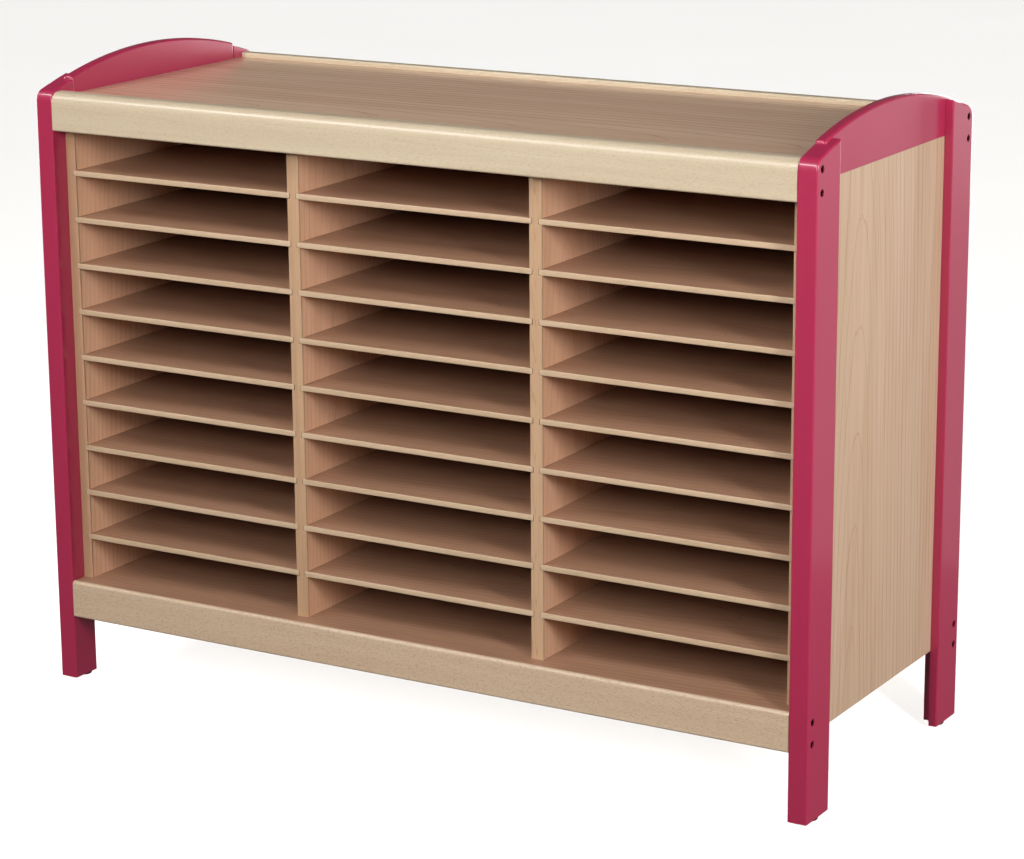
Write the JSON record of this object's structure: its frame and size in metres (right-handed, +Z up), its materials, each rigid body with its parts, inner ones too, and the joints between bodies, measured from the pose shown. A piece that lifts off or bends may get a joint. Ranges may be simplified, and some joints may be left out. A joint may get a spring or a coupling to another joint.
{
  "type": "drawing storage cabinet",
  "caption": "Free-standing post and rail cabinet with arched ends and columns of narrow open compartments whose thin shelves slide out of grooves, for storing flat sheets.",
  "frame": {"origin": "on the floor, midway between the four posts", "axes": "+X to the right along the width seen from the front, +Y to the back, +Z up"},
  "size_m": [1.22, 0.495, 0.921],
  "materials": {
    "raspberry_lacquer": "satin opaque lacquer on wood",
    "beech_decor": "melamine-faced board with a beech grain",
    "beech_edging": "satin edging strip",
    "solid_beech": "clear lacquer",
    "shelf_board": "melamine-faced thin board",
    "back_board": "melamine-faced thin board",
    "black_steel": "black oxide",
    "zinc_steel": "zinc plated",
    "black_plastic": "moulded"
  },
  "bodies": {
    "cabinet": {"post_front_left": "raspberry_lacquer", "post_front_right": "raspberry_lacquer", "post_rear_left": "raspberry_lacquer", "post_rear_right": "raspberry_lacquer", "arch_board_left": "raspberry_lacquer", "arch_board_right": "raspberry_lacquer", "end_panel_left": "beech_decor", "end_panel_right": "beech_decor", "side_panel_left": "beech_decor", "side_panel_right": "beech_decor", "side_edging_left": "beech_edging", "side_edging_right": "beech_edging", "divider_left": "beech_decor", "divider_right": "beech_decor", "divider_edging_left": "beech_edging", "divider_edging_right": "beech_edging", "top_panel": "beech_decor", "base_panel": "beech_decor", "back_panel": "back_board", "rail_bottom_front": "solid_beech", "rail_bottom_rear": "solid_beech", "rail_top_front": "solid_beech", "rail_top_rear": "solid_beech", "rail_bolts": "black_steel", "barrel_nuts": "zinc_steel", "rail_dowels": "solid_beech", "back_screws": "zinc_steel", "glides": "black_plastic"},
    "shelf_left_1": {"shelf_left_1": "shelf_board"},
    "shelf_left_2": {"shelf_left_2": "shelf_board"},
    "shelf_left_3": {"shelf_left_3": "shelf_board"},
    "shelf_left_4": {"shelf_left_4": "shelf_board"},
    "shelf_left_5": {"shelf_left_5": "shelf_board"},
    "shelf_left_6": {"shelf_left_6": "shelf_board"},
    "shelf_left_7": {"shelf_left_7": "shelf_board"},
    "shelf_left_8": {"shelf_left_8": "shelf_board"},
    "shelf_left_9": {"shelf_left_9": "shelf_board"},
    "shelf_middle_1": {"shelf_middle_1": "shelf_board"},
    "shelf_middle_2": {"shelf_middle_2": "shelf_board"},
    "shelf_middle_3": {"shelf_middle_3": "shelf_board"},
    "shelf_middle_4": {"shelf_middle_4": "shelf_board"},
    "shelf_middle_5": {"shelf_middle_5": "shelf_board"},
    "shelf_middle_6": {"shelf_middle_6": "shelf_board"},
    "shelf_middle_7": {"shelf_middle_7": "shelf_board"},
    "shelf_middle_8": {"shelf_middle_8": "shelf_board"},
    "shelf_middle_9": {"shelf_middle_9": "shelf_board"},
    "shelf_right_1": {"shelf_right_1": "shelf_board"},
    "shelf_right_2": {"shelf_right_2": "shelf_board"},
    "shelf_right_3": {"shelf_right_3": "shelf_board"},
    "shelf_right_4": {"shelf_right_4": "shelf_board"},
    "shelf_right_5": {"shelf_right_5": "shelf_board"},
    "shelf_right_6": {"shelf_right_6": "shelf_board"},
    "shelf_right_7": {"shelf_right_7": "shelf_board"},
    "shelf_right_8": {"shelf_right_8": "shelf_board"},
    "shelf_right_9": {"shelf_right_9": "shelf_board"}
  },
  "joints": [
    {"name": "shelf_left_1_slide", "type": "slide", "parent": "cabinet", "child": "shelf_left_1", "axis": [0, -1, 0], "range_m": [0, 0.47]},
    {"name": "shelf_left_2_slide", "type": "slide", "parent": "cabinet", "child": "shelf_left_2", "axis": [0, -1, 0], "range_m": [0, 0.47]},
    {"name": "shelf_left_3_slide", "type": "slide", "parent": "cabinet", "child": "shelf_left_3", "axis": [0, -1, 0], "range_m": [0, 0.47]},
    {"name": "shelf_left_4_slide", "type": "slide", "parent": "cabinet", "child": "shelf_left_4", "axis": [0, -1, 0], "range_m": [0, 0.47]},
    {"name": "shelf_left_5_slide", "type": "slide", "parent": "cabinet", "child": "shelf_left_5", "axis": [0, -1, 0], "range_m": [0, 0.47]},
    {"name": "shelf_left_6_slide", "type": "slide", "parent": "cabinet", "child": "shelf_left_6", "axis": [0, -1, 0], "range_m": [0, 0.47]},
    {"name": "shelf_left_7_slide", "type": "slide", "parent": "cabinet", "child": "shelf_left_7", "axis": [0, -1, 0], "range_m": [0, 0.47]},
    {"name": "shelf_left_8_slide", "type": "slide", "parent": "cabinet", "child": "shelf_left_8", "axis": [0, -1, 0], "range_m": [0, 0.47]},
    {"name": "shelf_left_9_slide", "type": "slide", "parent": "cabinet", "child": "shelf_left_9", "axis": [0, -1, 0], "range_m": [0, 0.47]},
    {"name": "shelf_middle_1_slide", "type": "slide", "parent": "cabinet", "child": "shelf_middle_1", "axis": [0, -1, 0], "range_m": [0, 0.47]},
    {"name": "shelf_middle_2_slide", "type": "slide", "parent": "cabinet", "child": "shelf_middle_2", "axis": [0, -1, 0], "range_m": [0, 0.47]},
    {"name": "shelf_middle_3_slide", "type": "slide", "parent": "cabinet", "child": "shelf_middle_3", "axis": [0, -1, 0], "range_m": [0, 0.47]},
    {"name": "shelf_middle_4_slide", "type": "slide", "parent": "cabinet", "child": "shelf_middle_4", "axis": [0, -1, 0], "range_m": [0, 0.47]},
    {"name": "shelf_middle_5_slide", "type": "slide", "parent": "cabinet", "child": "shelf_middle_5", "axis": [0, -1, 0], "range_m": [0, 0.47]},
    {"name": "shelf_middle_6_slide", "type": "slide", "parent": "cabinet", "child": "shelf_middle_6", "axis": [0, -1, 0], "range_m": [0, 0.47]},
    {"name": "shelf_middle_7_slide", "type": "slide", "parent": "cabinet", "child": "shelf_middle_7", "axis": [0, -1, 0], "range_m": [0, 0.47]},
    {"name": "shelf_middle_8_slide", "type": "slide", "parent": "cabinet", "child": "shelf_middle_8", "axis": [0, -1, 0], "range_m": [0, 0.47]},
    {"name": "shelf_middle_9_slide", "type": "slide", "parent": "cabinet", "child": "shelf_middle_9", "axis": [0, -1, 0], "range_m": [0, 0.47]},
    {"name": "shelf_right_1_slide", "type": "slide", "parent": "cabinet", "child": "shelf_right_1", "axis": [0, -1, 0], "range_m": [0, 0.47]},
    {"name": "shelf_right_2_slide", "type": "slide", "parent": "cabinet", "child": "shelf_right_2", "axis": [0, -1, 0], "range_m": [0, 0.47]},
    {"name": "shelf_right_3_slide", "type": "slide", "parent": "cabinet", "child": "shelf_right_3", "axis": [0, -1, 0], "range_m": [0, 0.47]},
    {"name": "shelf_right_4_slide", "type": "slide", "parent": "cabinet", "child": "shelf_right_4", "axis": [0, -1, 0], "range_m": [0, 0.47]},
    {"name": "shelf_right_5_slide", "type": "slide", "parent": "cabinet", "child": "shelf_right_5", "axis": [0, -1, 0], "range_m": [0, 0.47]},
    {"name": "shelf_right_6_slide", "type": "slide", "parent": "cabinet", "child": "shelf_right_6", "axis": [0, -1, 0], "range_m": [0, 0.47]},
    {"name": "shelf_right_7_slide", "type": "slide", "parent": "cabinet", "child": "shelf_right_7", "axis": [0, -1, 0], "range_m": [0, 0.47]},
    {"name": "shelf_right_8_slide", "type": "slide", "parent": "cabinet", "child": "shelf_right_8", "axis": [0, -1, 0], "range_m": [0, 0.47]},
    {"name": "shelf_right_9_slide", "type": "slide", "parent": "cabinet", "child": "shelf_right_9", "axis": [0, -1, 0], "range_m": [0, 0.47]}
  ]
}
